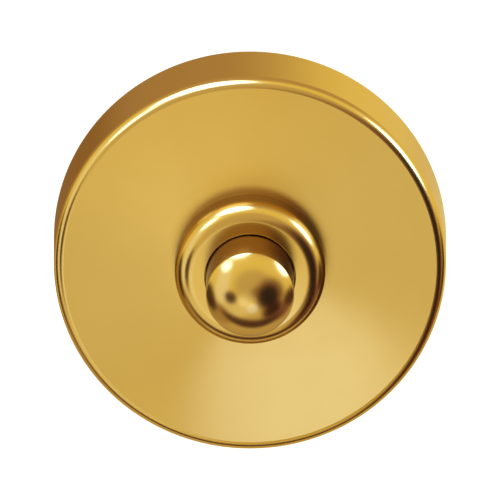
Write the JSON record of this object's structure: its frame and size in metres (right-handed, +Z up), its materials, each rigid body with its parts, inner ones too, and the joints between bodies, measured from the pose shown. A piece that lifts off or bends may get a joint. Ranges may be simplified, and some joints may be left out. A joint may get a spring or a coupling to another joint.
{
  "type": "doorbell push button",
  "caption": "Round polished brass bell push: a plain rose with a rounded rim, a raised collar and a sprung domed button that closes a contact inside when it is pressed.",
  "frame": {"origin": "centre of the back, on the wall", "axes": "+Y into the wall, -Y out of the front along the button's axis, +Z up"},
  "size_m": [0.064, 0.0329, 0.064],
  "materials": {
    "polished_brass": "polished and lacquered",
    "plain_brass": "plain turned or stamped, not lacquered",
    "spring_steel": "zinc plated",
    "phosphor_bronze": "rolled spring strip",
    "contact_silver": "plain silver alloy",
    "phenolic": "compression moulded, dark brown to black",
    "nylon": "turned, natural"
  },
  "bodies": {
    "housing": {"rose_cover": "polished_brass", "collar": "polished_brass", "collar_lock_washer": "spring_steel", "collar_nut": "plain_brass", "return_spring": "spring_steel", "spring_seat": "plain_brass", "retaining_ring": "spring_steel", "back_plate": "phenolic", "fixed_contact": "plain_brass", "fixed_contact_rivet": "contact_silver", "moving_contact": "phosphor_bronze", "terminal_clamp_left": "plain_brass", "terminal_clamp_right": "plain_brass", "terminal_screws": "plain_brass", "terminal_nuts": "plain_brass"},
    "button": {"push_button": "polished_brass", "pusher_pin": "nylon", "moving_contact_rivet": "contact_silver"}
  },
  "joints": [
    {"name": "button_press", "type": "slide", "parent": "housing", "child": "button", "axis": [0, 1, 0], "range_m": [0, 0.0025], "stiffness_N_per_m": 500, "springref_m": -0.004, "deforming": ["return_spring", "moving_contact"]}
  ]
}
